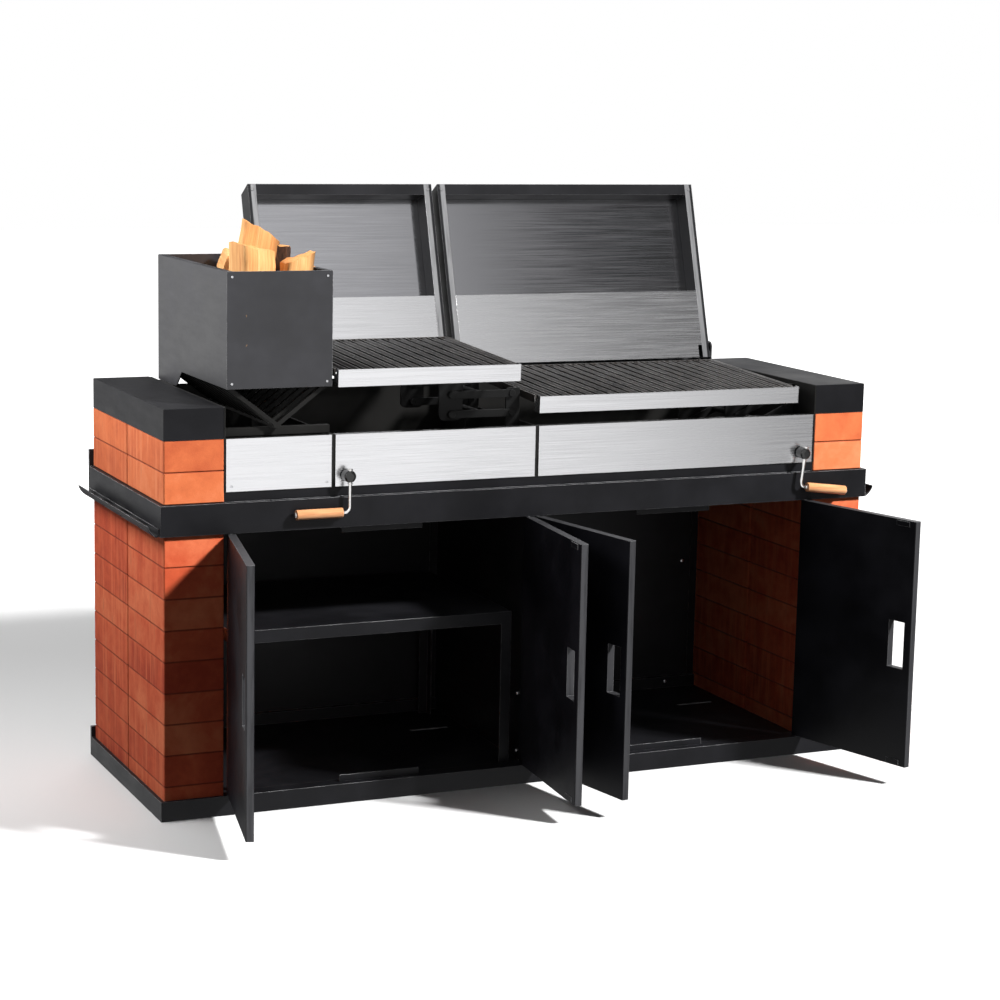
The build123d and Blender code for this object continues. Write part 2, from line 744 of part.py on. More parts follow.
def lift_arms(side_name, level, pivot_x, pivot_z, angle):
    turn = math.radians(angle)
    far_x = pivot_x - arm_length * math.cos(turn)
    far_z = pivot_z + arm_length * math.sin(turn)
    along = Plane(
        origin=(pivot_x, arm_planes[0] + arm_front, pivot_z),
        x_dir=(-math.cos(turn), 0, math.sin(turn)),
        z_dir=(0, 1, 0),
    )
    with BuildPart() as arms:
        for y in arm_planes:
            shift = y - arm_planes[0]
            with BuildSketch(along.offset(shift)):
                with Locations((arm_length / 2, 0)):
                    SlotCenterToCenter(arm_length, arm_width)
                with Locations((0, 0), (arm_length, 0)):
                    Circle(arm_pin_radius + arm_clearance, mode=Mode.SUBTRACT)
            extrude(amount=arm_sheet)
        with BuildSketch(along.offset(arm_sheet)):
            with Locations((arm_length / 2, 0)):
                Circle(arm_tube_radius)
        extrude(amount=arm_planes[1] - arm_planes[0] - arm_sheet)
    save(arms.part, f"{side_name}_{level}_arms")
    return far_x, far_z


def headed_pin(x, z, lug_front):
    """A pin from a lug's front face out through an arm, with a head in front of the arm."""
    reach = lug_gap + arm_sheet
    head = 3
    with Locations((x, lug_front - reach / 2, z)):
        Cylinder(arm_pin_radius, reach, rotation=(90, 0, 0))
    with Locations((x, lug_front - reach - head / 2 - 0.2, z)):
        Cylinder(arm_width / 2 - 1, head, rotation=(90, 0, 0))
    with Locations((x, lug_front - reach - 0.1, z)):
        Cylinder(arm_pin_radius, 0.2, rotation=(90, 0, 0))


def lift(side_name, plane, grate_z, pivot_x, angle):
    turn = math.radians(angle)
    carrier_z = grate_z - pivot_drop
    pivot_z = carrier_z - arm_length * math.sin(turn)
    far_x, far_z = lift_arms(side_name, "upper", pivot_x, pivot_z, angle)
    lift_arms(side_name, "lower", pivot_x, pivot_z - arm_spacing, angle)

    seat = plane.offset(bar_seat - cross_bar_height)
    carriers = []
    for y in arm_planes:
        with BuildPart() as carrier:
            half = carrier_width / 2
            block(far_x - half, far_x + half, y, y + lug_sheet,
                  far_z - arm_spacing - carrier_edge, far_z + 3 * pivot_drop)
            fillet(carrier.edges().filter_by(Axis.Y).group_by(Axis.Z)[0], carrier_edge)
            split(bisect_by=seat, keep=Keep.BOTTOM)
            headed_pin(far_x, far_z, y)
            headed_pin(far_x, far_z - arm_spacing, y)
        carriers.append(carrier.part)
    group(carriers, f"{side_name}_carriers")
    return pivot_z


left_pivot_z = lift("left", left_plane, left_grate_z, left_pivot_x, left_arm_angle)
right_pivot_z = lift("right", right_plane, right_grate_z, right_pivot_x, right_arm_angle)

# Lift brackets: lugs fixed to the second bay divider and to the right liner
brackets = []
for pivot_x, pivot_z, wall_x in (
    (left_pivot_x, left_pivot_z, divider_centres[1] - bay_divider / 2),
    (right_pivot_x, right_pivot_z, inner - liner_sheet),
):
    for y in arm_planes:
        with BuildPart() as bracket:
            block(pivot_x - arm_width / 2 - 3, wall_x, y, y + lug_sheet, pivot_z - lug_foot,
                  pivot_z + arm_width / 2 + 3)
            fillet(bracket.edges().filter_by(Axis.Y).group_by(Axis.X)[0], arm_width / 2)
            headed_pin(pivot_x, pivot_z, y)
            headed_pin(pivot_x, pivot_z - arm_spacing, y)
        brackets.append(bracket.part)
group(brackets, "lift_brackets")


# Cranks: a shaft in a bush behind the panel, a domed hub, a swivelling bent rod and a wooden grip
def crank_plane(x, lean):
    turn = math.radians(lean)
    return Plane(origin=(x, front, crank_height), x_dir=(math.cos(turn), 0, -math.sin(turn)),
                 z_dir=(0, -1, 0))


def crank(side_name, x, side, lean):
    plane = crank_plane(x, lean)
    running = pivot_clearance
    rod_hole = crank_rod_radius + running
    with BuildPart() as hub:
        with BuildSketch(plane.offset(hub_back)):
            Circle(hub_radius)
        extrude(amount=crank_standoff + crank_rod_radius + 3 - hub_back)
        fillet(hub.faces().sort_by(Axis.Y)[0].edges(), hub_radius / 2)
        fillet(hub.faces().sort_by(Axis.Y)[-1].edges(), 1)
        with BuildSketch(plane.offset(-bush_length - hub_back)):
            Circle(crank_shaft_radius)
        extrude(amount=bush_length + 2 * hub_back)
        hole = Plane(origin=plane.from_local_coords((0, -hub_radius, crank_standoff)),
                     x_dir=(0, 1, 0), z_dir=plane.y_dir)
        with BuildSketch(hole):
            Circle(rod_hole)
        extrude(amount=2 * hub_radius, mode=Mode.SUBTRACT)
    save(hub.part, f"{side_name}_crank_hub")

    rod_plane = plane.offset(crank_standoff)
    top = hub_radius + 4
    grip_end = grip_start + grip_length
    with BuildPart() as rod:
        with BuildLine(rod_plane) as path:
            FilletPolyline((0, top), (0, -crank_throw), (side * (grip_end + 3), -crank_throw),
                           radius=crank_bend)
        start = Plane(origin=path.line @ 0, z_dir=path.line % 0)
        with BuildSketch(start):
            Circle(crank_rod_radius)
        sweep()
        upright = Plane(origin=rod_plane.origin, x_dir=(0, 1, 0), z_dir=plane.y_dir)
        with BuildSketch(upright.offset(hub_radius + 0.4)):
            Circle(crank_rod_radius + 2)
        extrude(amount=3)
        with BuildSketch(upright.offset(-hub_radius - 0.4)):
            Circle(crank_rod_radius + 2)
        extrude(amount=-3)
        across = Plane(origin=rod_plane.from_local_coords((0, -crank_throw, 0)), x_dir=(0, 1, 0),
                       z_dir=side * plane.x_dir)
        with BuildSketch(across.offset(grip_end + 0.6)):
            Circle(crank_rod_radius + 3)
        extrude(amount=2.4)
        with BuildSketch(across.offset(grip_start - 2.6)):
            Circle(crank_rod_radius + 2)
        extrude(amount=2)
    save(rod.part, f"{side_name}_crank_rod")

    with BuildPart() as grip:
        with BuildSketch(across.offset(grip_start)):
            Circle(grip_radius)
        extrude(amount=grip_length)
        fillet(grip.edges().filter_by(GeomType.CIRCLE), 2)
        with BuildSketch(across.offset(grip_start)):
            Circle(crank_rod_radius + running)
        extrude(amount=grip_length, mode=Mode.SUBTRACT)
    save(grip.part, f"{side_name}_crank_grip")


crank("left", left_crank_x, -1, 0)
crank("right", right_crank_x, 1, right_crank_lean)

bushes = []
for x in (left_crank_x, right_crank_x):
    face = Plane(origin=(x, front, crank_height), z_dir=(0, 1, 0))
    with BuildPart() as bush:
        with BuildSketch(face):
            Circle(bush_nose_radius)
        extrude(amount=panel_sheet)
        with BuildSketch(face.offset(panel_sheet)):
            Circle(bush_radius)
        extrude(amount=bush_length - panel_sheet)
        with BuildSketch(face):
            Circle(crank_shaft_radius + pivot_clearance)
        extrude(amount=bush_length, mode=Mode.SUBTRACT)
    bushes.append(bush.part)
group(bushes, "crank_bushes")

# Lids: folded trays leaning back on their pivots, with a boxed rim, an inner panel and a splash plate
lean = math.radians(lid_lean)
lid_plane = Plane(
    origin=(0, back - lid_setback, lid_origin_z),
    x_dir=(1, 0, 0),
    z_dir=(0, -math.cos(lean), math.sin(lean)),
)
lid_low = -lid_tail
lid_high = lid_height - lid_tail


def tray(x0, x1, high, back_z, front_z, mode=Mode.ADD):
    """The space inside a lid's outline, whose top slopes down towards its back."""
    section = Plane(origin=lid_plane.from_local_coords((x0, 0, 0)), x_dir=lid_plane.y_dir,
                    z_dir=lid_plane.x_dir)
    slope = lid_top_draft / lid_depth
    with BuildSketch(section) as outline:
        with BuildLine():
            Polyline(
                (lid_low, front_z),
                (high + front_z * slope, front_z),
                (high + back_z * slope, back_z),
                (lid_low, back_z),
                close=True,
            )
        make_face()
    extrude(outline.sketch, amount=x1 - x0, mode=mode)


def lid(side_name, span):
    x0, x1 = span
    sheet = lid_sheet
    rim_low = x0 + lid_rim
    rim_high = x1 - lid_rim
    top_rim = lid_high - lid_top_rim
    skin_z = -lid_depth + sheet
    pin_y, pin_z = hinge_place
    with BuildPart() as shell:
        tray(x0, x1, lid_high, -lid_depth, 0)
        tray(x0 + sheet, x1 - sheet, lid_high - sheet, skin_z, -sheet, Mode.SUBTRACT)
        with Locations(lid_plane):
            block(rim_low, rim_high, lid_low, top_rim, -sheet, 0, Mode.SUBTRACT)
            block(rim_low - sheet, rim_low, lid_low, top_rim, skin_z, 0)
            block(rim_high, rim_high + sheet, lid_low, top_rim, skin_z, 0)
            block(rim_low - sheet, rim_high + sheet, top_rim, top_rim + sheet, skin_z, 0)
            for x in (x0 + sheet / 2, x1 - sheet / 2):
                with Locations(Location((x, pin_y, pin_z), (0, 90, 0))):
                    Cylinder(hinge_pin_radius + pivot_clearance, sheet, mode=Mode.SUBTRACT)
    rivet_y = lid_high - lid_top_rim / 2
    rivets = []
    for x in (x0 + lid_rim / 2, x1 - lid_rim / 2):
        corner = Plane(origin=lid_plane.from_local_coords((x, rivet_y, 0)), z_dir=lid_plane.z_dir)
        rivets.append(domed_head(corner, rivet_radius, rivet_proud))
    group([shell.part] + rivets, f"{side_name}_lid_shell")

    with BuildPart(lid_plane) as panel:
        block(rim_low, rim_high, lid_low, top_rim, skin_z, -lid_recess)
    save(panel.part, f"{side_name}_lid_panel")

    with BuildPart(lid_plane) as splash:
        top = lid_low + splash_height
        block(rim_low, rim_high, lid_low, top, -splash_sheet, 0)
        block(rim_low, rim_high, top - splash_sheet, top, -lid_recess, -splash_sheet)
        block(rim_high - splash_notch_width, rim_high, lid_low, lid_low + splash_notch_height,
              -splash_sheet, 0, Mode.SUBTRACT)
    save(splash.part, f"{side_name}_splash_plate")


lid("left", left_lid_span)
lid("right", right_lid_span)

# Lid hinges: plates on the firebox's back wall with pins into the side walls of the lids
hinge_axis = lid_plane.from_local_coords((0, *hinge_place))
hinge_reach = hinge_gap + lid_sheet + 3
between = (left_lid_span[1] + right_lid_span[0]) / 2
hinges = []
for plate_x, pin_x0, pin_x1 in (
    (left_lid_span[0] - hinge_gap - hinge_plate, 0, hinge_plate + hinge_reach),
    (between - hinge_plate / 2, left_lid_span[1] - between - hinge_reach + hinge_plate,
     right_lid_span[0] - between + hinge_reach),
    (right_lid_span[1] + hinge_gap, -hinge_reach, hinge_plate),
):
    with BuildPart() as hinge:
        y0 = hinge_axis.Y - hinge_plate_rise
        block(plate_x, plate_x + hinge_plate, y0, firebox_back, hinge_axis.Z - hinge_plate_drop,
              hinge_axis.Z + hinge_plate_rise)
        fillet(hinge.edges().filter_by(Axis.X).group_by(Axis.Z)[-1], hinge_plate_rise - 1)
        with BuildSketch(Plane(origin=(plate_x + pin_x0, hinge_axis.Y, hinge_axis.Z), z_dir=(1, 0, 0))):
            Circle(hinge_pin_radius)
        extrude(amount=pin_x1 - pin_x0)
    hinges.append(hinge.part)
group(hinges, "lid_hinges")

print("doors", door_width, "deep", depth, "high", cap_top, "lid pivots", hinge_axis)
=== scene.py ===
# Looks of the brick and steel barbecue: finishes for every part of the frame, the firewood in the ember
# basket, a pale studio floor, lights and the camera. Metres, +Z up, front towards -Y.
import json

import bpy
import numpy as np
from mathutils import Matrix, Vector


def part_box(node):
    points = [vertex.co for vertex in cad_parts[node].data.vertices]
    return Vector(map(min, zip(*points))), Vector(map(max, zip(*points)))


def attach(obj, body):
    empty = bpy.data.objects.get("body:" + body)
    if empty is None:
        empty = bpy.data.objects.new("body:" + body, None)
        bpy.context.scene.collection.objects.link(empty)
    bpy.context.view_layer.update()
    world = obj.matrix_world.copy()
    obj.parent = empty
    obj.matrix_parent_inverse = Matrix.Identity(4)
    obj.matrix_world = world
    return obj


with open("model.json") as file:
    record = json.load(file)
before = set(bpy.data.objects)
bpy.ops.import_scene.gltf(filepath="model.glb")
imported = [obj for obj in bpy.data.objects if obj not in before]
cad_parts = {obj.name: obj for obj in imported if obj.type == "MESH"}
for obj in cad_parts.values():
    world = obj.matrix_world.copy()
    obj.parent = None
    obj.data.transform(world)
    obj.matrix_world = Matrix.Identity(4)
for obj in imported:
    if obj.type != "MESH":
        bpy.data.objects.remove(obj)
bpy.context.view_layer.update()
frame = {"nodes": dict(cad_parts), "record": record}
nodes = frame["nodes"]
print("frame loaded:", len(nodes), "parts")


class Wire:
    # a shader socket that can stand in a Python sum
    def __init__(self, paint, socket):
        self.paint = paint
        self.socket = socket

    def sum(self, operation, *values):
        return self.paint.node("ShaderNodeMath", {"operation": operation}, dict(enumerate(values)))

    def __add__(self, other):
        return self.sum("ADD", self, other)

    def __radd__(self, other):
        return self.sum("ADD", other, self)

    def __sub__(self, other):
        return self.sum("SUBTRACT", self, other)

    def __rsub__(self, other):
        return self.sum("SUBTRACT", other, self)

    def __mul__(self, other):
        return self.sum("MULTIPLY", self, other)

    def __rmul__(self, other):
        return self.sum("MULTIPLY", other, self)

    def __truediv__(self, other):
        return self.sum("DIVIDE", self, other)

    def __gt__(self, other):
        return self.sum("GREATER_THAN", self, other)

    def floor(self):
        return self.sum("FLOOR", self)

    def fraction(self):
        return self.sum("FRACT", self)

    def size(self):
        return self.sum("ABSOLUTE", self)


class Paint:
    # one material or world, and everything drawn into it
    def __init__(self, owner):
        self.owner = bpy.data.materials.new(owner) if isinstance(owner, str) else owner
        self.owner.use_nodes = True
        self.tree = self.owner.node_tree
        self.tree.nodes.clear()
        self.place = self.node("ShaderNodeTexCoord", output="Object")
        self.normal = self.node("ShaderNodeTexCoord", output="Normal")

    def node(self, kind, settings=None, inputs=None, output=0):
        made = self.tree.nodes.new(kind)
        for key, value in (settings or {}).items():
            if key == "stops":
                while len(made.color_ramp.elements) < len(value):
                    made.color_ramp.elements.new(0.5)
                for element, (spot, colour) in zip(made.color_ramp.elements, value):
                    element.position = spot
                    element.color = colour if len(colour) == 4 else (*colour, 1.0)
            else:
                setattr(made, key, value)
        for key, value in (inputs or {}).items():
            if isinstance(value, Wire):
                self.tree.links.new(value.socket, made.inputs[key])
            else:
                made.inputs[key].default_value = value
        return Wire(self, made.outputs[output])

    def axes(self, vector=None):
        # the three coordinates of a vector as numbers
        apart = {0: vector or self.place}
        return [self.node("ShaderNodeSeparateXYZ", inputs=apart, output=i) for i in range(3)]

    def stretched(self, scale, vector=None):
        # a vector scaled differently along each axis, for grain and streaks
        inputs = {0: vector or self.place, 1: scale}
        return self.node("ShaderNodeVectorMath", {"operation": "MULTIPLY"}, inputs)

    def noise(self, scale, detail=3.0, rough=0.55, vector=None, warp=0.0):
        inputs = {"Vector": vector or self.place, "Scale": scale, "Detail": detail, "Roughness": rough,
                  "Distortion": warp}
        return self.node("ShaderNodeTexNoise", inputs=inputs)

    def ramp(self, value, *stops):
        return self.node("ShaderNodeValToRGB", {"stops": stops}, {"Fac": value})

    def between(self, value, low, high, outLow=0.0, outHigh=1.0, curve="SMOOTHSTEP"):
        # value taken from one span to another, held at the ends
        inputs = {0: value, 1: low, 2: high, 3: outLow, 4: outHigh}
        return self.node("ShaderNodeMapRange", {"interpolation_type": curve}, inputs)

    def chosen(self, share, first, second):
        # a number that goes evenly from first to second
        return self.between(share, 0.0, 1.0, first, second, "LINEAR")

    def mixed(self, first, second, share):
        first, second = (c if isinstance(c, Wire) else (*c, 1.0) for c in (first, second))
        return self.node("ShaderNodeMix", {"data_type": "RGBA"}, {0: share, 6: first, 7: second}, output=2)

    def rounded(self, radius):
        # a normal that turns softly round the edges, and how near an edge is, from 0 to 1
        soft = self.node("ShaderNodeBevel", {"samples": 4}, {"Radius": radius})
        flat = self.node("ShaderNodeNewGeometry", output="Normal")
        same = self.node("ShaderNodeVectorMath", {"operation": "DOT_PRODUCT"}, {0: soft, 1: flat}, output=1)
        return soft, self.between(1 - same, 0.02, 0.22)

    def facing(self, axis):
        # how squarely a face looks along x, y or z, either way
        return self.axes(self.normal)[axis].size()

    def bump(self, height, distance, strength=1.0, normal=None):
        inputs = {"Height": height, "Distance": distance, "Strength": strength}
        if normal is not None:
            inputs["Normal"] = normal
        return self.node("ShaderNodeBump", inputs=inputs)

    def finish(self, **inputs):
        # closes the material with one principled shader
        names = {"base": "Base Color", "rough": "Roughness", "metal": "Metallic", "normal": "Normal",
                 "coat": "Coat Weight", "coatRough": "Coat Roughness", "shine": "Specular IOR Level",
                 "glow": "Emission Color"}
        ready = {}
        for key, value in inputs.items():
            if key == "base" and not isinstance(value, Wire):
                value = (*value, 1.0)
            ready[names[key]] = value
        if "glow" in inputs:
            ready["Emission Strength"] = 1.0
        shader = self.node("ShaderNodeBsdfPrincipled", inputs=ready)
        out = self.tree.nodes.new("ShaderNodeOutputMaterial")
        self.tree.links.new(shader.socket, out.inputs["Surface"])
        return self.owner


brickValues = {
    "course": 0.072,
    "length": 0.290,
    "joint": 0.0035,
    "dark": (0.20, 0.035, 0.018),
    "upper": ((0.56, 0.120, 0.048), (0.74, 0.190, 0.072), (0.86, 0.29, 0.135)),
    # the lower bricks are a darker, redder copy of the upper ones: painted shade
    "lower": ((0.44, 0.058, 0.026), (0.66, 0.115, 0.048), (0.86, 0.24, 0.108)),
    "combed": 260.0,
    "rough": 0.82,
}


def clay(name, bottom, colours):
    # Fired clay, laid in courses from bottom up. Each brick has its own tint, the long faces are combed
    # upright, and the edges by the joints are painted darker, as painted shade in the grooves between bricks.
    v = brickValues
    paint = Paint(name)
    x, y, z = paint.axes()
    course = (z - bottom) / v["course"]
    stack = y > 0.0
    column = x > 0.0
    number = course.floor() + 20 * stack + 50 * column
    tint = paint.node("ShaderNodeTexWhiteNoise", {"noise_dimensions": "1D"}, {"W": number})
    second = paint.node("ShaderNodeTexWhiteNoise", {"noise_dimensions": "1D"}, {"W": number + 0.37})
    cloud = paint.noise(9.0, 5.0, 0.6, warp=0.4)
    patch = paint.noise(26.0, 4.0, 0.65)
    grit = paint.noise(420.0, 2.0, 0.7)
    longFace = paint.facing(0) > 0.7
    strands = paint.noise(1.0, 4.0, 0.65, paint.stretched((30.0, v["combed"], 9.0)))
    band = paint.noise(1.0, 3.0, 0.6, paint.stretched((8.0, 55.0, 3.5)))
    low, middle, high = colours
    mood = 0.55 * cloud + 0.25 * patch + 0.22 * tint
    body = paint.ramp(mood, (0.34, low), (0.52, middle), (0.72, high))
    streaks = paint.between(band + 0.35 * strands, 0.62, 0.86)
    body = paint.mixed(body, high, streaks * longFace * (0.25 + 0.4 * second))
    burnt = paint.between(0.6 * band + 0.5 * cloud, 0.62, 0.78)
    body = paint.mixed(body, v["dark"], burnt * longFace * 0.42)
    body = paint.mixed(body, (0.86, 0.56, 0.42), paint.between(grit, 0.66, 0.80) * 0.22)
    body = paint.mixed(body, v["dark"], paint.between(grit, 0.36, 0.24) * 0.35)
    # painted shade in the grooves between bricks
    edge = (course.fraction() - 0.5).size()
    nearJoint = paint.between(edge, 0.5 - v["joint"] / v["course"], 0.5)
    body = paint.mixed(body, v["dark"], nearJoint * 0.85)
    height = 0.45 * grit + 0.5 * patch + strands * longFace * 0.6
    soft, edgeHighlight = paint.rounded(0.003)
    normal = paint.bump(height, 0.0011, 0.7, soft)
    return paint.finish(base=body, rough=paint.between(grit, 0.2, 0.8, v["rough"] - 0.08, v["rough"] + 0.1),
                        normal=normal, shine=0.25)


# in each finish, edge and the strength after it set a painted highlight along the edges
coatValues = {
    "frame_black": {"base": (0.0065, 0.0065, 0.0075), "rough": 0.45, "edge": (0.50, 0.50, 0.51),
                    "edgeHighlight": 0.95, "shine": 0.16, "peel": 0.00012},
    "door_black": {"base": (0.0035, 0.0035, 0.0048), "rough": 0.40, "edge": (0.40, 0.40, 0.41), "edgeHighlight": 0.95,
                   "shine": 0.12, "peel": 0.00008},
    "firebox_black": {"base": (0.008, 0.0078, 0.0075), "rough": 0.55, "edge": (0.06, 0.06, 0.06),
                      "edgeHighlight": 0.4, "shine": 0.2, "peel": 0.0002},
    "lift_steel": {"base": (0.006, 0.006, 0.006), "rough": 0.48, "edge": (0.08, 0.08, 0.08), "edgeHighlight": 0.5,
                   "shine": 0.2, "peel": 0.0001},
    "basket_grey": {"base": (0.018, 0.018, 0.0205), "rough": 0.34, "edge": (0.50, 0.50, 0.51),
                    "edgeHighlight": 0.8, "shine": 0.5, "peel": 0.00002},
    "hub_black": {"base": (0.006, 0.006, 0.006), "rough": 0.22, "edge": (0.02, 0.02, 0.02), "edgeHighlight": 0.2,
                  "shine": 0.5, "peel": 0.00002},
}


def coated(slotName, **change):
    # Powder coat: faint orange peel, dust and rubbed patches, and a painted highlight along the edges, broken
    # up by noise.
    v = {**coatValues[slotName], **change}
    paint = Paint(slotName)
    peel = paint.noise(520.0, 2.0, 0.5)
    cloud = paint.noise(5.0, 4.0, 0.6)
    rub = paint.noise(1.0, 5.0, 0.7, paint.stretched((9.0, 9.0, 42.0)))
    soft, edge = paint.rounded(0.0016)
    gaps = paint.between(paint.noise(38.0, 3.0, 0.6), 0.34, 0.56)
    dusty = tuple(c * 1.9 for c in v["base"])
    body = paint.mixed(v["base"], dusty, paint.between(cloud, 0.35, 0.7))
    # painted highlight: the edges are lightened towards the edge colour, patchy with the gaps noise
    body = paint.mixed(body, v["edge"], edge * (0.35 + 0.65 * gaps) * v["edgeHighlight"])
    rough = paint.between(0.6 * cloud + 0.4 * rub, 0.3, 0.7, v["rough"] - 0.07, v["rough"] + 0.10)
    return paint.finish(base=body, rough=rough, shine=v["shine"],
                        normal=paint.bump(peel, v["peel"], 0.6, soft))


steelValues = {
    "stainless": {"base": (0.66, 0.66, 0.675), "rough": 0.22, "grain": 0.012, "edge": 0.6},
    "lid_inner": {"base": (0.30, 0.30, 0.315), "rough": 0.15, "grain": 0.006, "edge": 0.2},
    "bright_steel": {"base": (0.72, 0.71, 0.70), "rough": 0.22, "grain": 0.02, "edge": 0.0},
    "fastener": {"base": (0.58, 0.58, 0.60), "rough": 0.30, "grain": 0.02, "edge": 0.3},
    "bush_metal": {"base": (0.50, 0.36, 0.16), "rough": 0.40, "grain": 0.03, "edge": 0.0},
}


def brushed(slotName, along=(5.0, 520.0, 520.0)):
    # Brushed steel: fine strokes along the length, long faint bands, and a painted highlight line on the
    # folds.
    v = steelValues[slotName]
    paint = Paint(slotName)
    strokes = paint.noise(1.0, 3.0, 0.6, paint.stretched(along))
    bands = paint.noise(1.0, 2.0, 0.5, paint.stretched(tuple(a * 0.08 for a in along)))
    cloud = paint.noise(3.5, 3.0, 0.5)
    soft, edge = paint.rounded(0.0018)
    tone = 0.5 * strokes + 0.3 * bands + 0.2 * cloud
    dark = tuple(c * (1 - v["grain"] * 1.6) for c in v["base"])
    light = tuple(min(1.0, c * (1 + v["grain"] * 1.6)) for c in v["base"])
    body = paint.ramp(tone, (0.35, dark), (0.65, light))
    # painted highlight: a near-white line along the edges
    body = paint.mixed(body, (0.93, 0.93, 0.94), edge * v["edge"])
    rough = paint.between(strokes, 0.3, 0.7, v["rough"] - 0.05, v["rough"] + 0.07)
    return paint.finish(base=body, rough=rough, metal=1.0, normal=paint.bump(strokes, 0.00001, 0.2, soft))


ironValues = {"base": (0.012, 0.0115, 0.011), "soot": (0.030, 0.022, 0.018), "bright": (0.62, 0.60, 0.58),
              "rough": 0.33}


def seasonedIron(name):
    # Grate steel: baked-on black, with a patchy painted highlight on the ridges and edges of the bars,
    # metallic where it lies.
    v = ironValues
    paint = Paint(name)
    crust = paint.noise(70.0, 4.0, 0.65)
    cloud = paint.noise(8.0, 3.0, 0.6)
    soft, edge = paint.rounded(0.0022)
    body = paint.mixed(v["base"], v["soot"], paint.between(crust, 0.4, 0.65))
    # painted highlight on the bar edges, patchy with the cloud noise
    ridgeHighlight = edge * paint.between(cloud, 0.40, 0.58, 0.2, 1.0)
    body = paint.mixed(body, v["bright"], ridgeHighlight * 0.9)
    rough = paint.between(crust, 0.3, 0.7, v["rough"] - 0.08, v["rough"] + 0.14)
    return paint.finish(base=body, rough=rough, normal=paint.bump(crust, 0.0003, 0.6, soft), shine=0.55,
                        metal=ridgeHighlight)


lidValues = {"base": (0.010, 0.010, 0.011), "strip": (0.42, 0.42, 0.43), "rough": 0.42,
             "edge": (0.40, 0.40, 0.41), "stripWidth": 0.013, "rim": 0.021}


def lidCoat(name, shell):
    # Dark lid shell whose inner half of each side rim is rubbed to bare steel.
    v = lidValues
    low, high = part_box(shell)
    paint = Paint(name)
    x = paint.axes()[0]
    fromSide = x.sum("MINIMUM", x - low.x, high.x - x)
    inRim = paint.between(fromSide, v["rim"] - v["stripWidth"] - 0.0012, v["rim"] - v["stripWidth"] + 0.0012)
    toFront = 0 - paint.axes(paint.normal)[1]
    strip = inRim * (fromSide.sum("LESS_THAN", fromSide, v["rim"] + 0.0004)) * (toFront > 0.6)
    cloud = paint.noise(6.0, 4.0, 0.6)
    wear = paint.noise(1.0, 4.0, 0.6, paint.stretched((120.0, 20.0, 6.0)))
    soft, edge = paint.rounded(0.0018)
    body = paint.mixed(v["base"], tuple(c * 1.7 for c in v["base"]), paint.between(cloud, 0.35, 0.7))
    body = paint.mixed(body, v["strip"], strip * paint.between(wear, 0.25, 0.6, 0.6, 1.0))
    # painted highlight along the edges
    body = paint.mixed(body, v["edge"], edge * 0.6)
    rough = paint.between(cloud, 0.3, 0.7, v["rough"] - 0.06, v["rough"] + 0.10)
    peel = paint.noise(500.0, 2.0, 0.5)
    return paint.finish(base=body, rough=rough, metal=strip * 0.8, shine=0.22,
                        normal=paint.bump(peel, 0.00006, 0.5, soft))


# colour of the door's narrow faces, painted lighter as a painted highlight
doorEdge = {"colour": (0.075, 0.075, 0.08), "rough": 0.42}


def doorCoat(node):
    # Black skins whose narrow faces all round are painted a lighter, half metallic grey: a painted highlight
    # for the light they catch. The door's own plane is the long direction of its corners seen from above.
    v = {**coatValues["door_black"], **doorEdge}
    corners = np.empty(len(nodes[node].data.vertices) * 3, np.float32)
    nodes[node].data.vertices.foreach_get("co", corners)
    flat = corners.reshape(-1, 3)[:, :2].astype(float)
    flat -= (flat.min(0) + flat.max(0)) / 2
    long = np.linalg.svd(flat, full_matrices=False)[2][0]
    paint = Paint(node)
    across = (float(-long[1]), float(long[0]), 0.0)
    square = paint.node("ShaderNodeVectorMath", {"operation": "DOT_PRODUCT"}, {0: paint.normal, 1: across},
                        output=1).size()
    narrow = paint.between(square, 0.80, 0.45)
    peel = paint.noise(520.0, 2.0, 0.5)
    cloud = paint.noise(5.0, 4.0, 0.6)
    scuffs = paint.noise(1.0, 4.0, 0.7, paint.stretched((60.0, 60.0, 4.0)))
    soft, edge = paint.rounded(0.0018)
    body = paint.mixed(v["base"], tuple(c * 1.8 for c in v["base"]), paint.between(cloud, 0.35, 0.7))
    side = paint.mixed(v["colour"], tuple(c * 0.6 for c in v["colour"]), paint.between(scuffs, 0.45, 0.7))
    # painted highlight: the narrow faces take the lighter grey
    body = paint.mixed(body, side, narrow)
    # painted highlight along the edges, patchy with the scuffs
    body = paint.mixed(body, v["edge"], edge * v["edgeHighlight"] * paint.between(scuffs, 0.3, 0.6, 0.4, 1.0))
    rough = paint.between(cloud, 0.3, 0.7, v["rough"] - 0.06, v["rough"] + 0.10)
    return paint.finish(base=body, rough=rough, metal=narrow * 0.5, shine=v["shine"],
                        normal=paint.bump(peel, v["peel"], 0.6, soft))


gripValues = {"light": (0.80, 0.40, 0.19), "dark": (0.52, 0.21, 0.085), "rough": 0.42}


def turnedWood(name):
    # Oiled turned hardwood, grain along the grip.
    v = gripValues
    paint = Paint(name)
    fibres = paint.noise(1.0, 4.0, 0.65, paint.stretched((14.0, 330.0, 330.0)), 0.3)
    figure = paint.noise(1.0, 3.0, 0.6, paint.stretched((5.0, 60.0, 60.0)), 0.8)
    body = paint.ramp(0.6 * figure + 0.4 * fibres, (0.36, v["dark"]), (0.60, v["light"]))
    soft, edge = paint.rounded(0.001)
    rough = paint.between(fibres, 0.3, 0.7, v["rough"] - 0.06, v["rough"] + 0.10)
    return paint.finish(base=body, rough=rough, coat=0.15, coatRough=0.25,
                        normal=paint.bump(fibres, 0.00015, 0.6, soft))


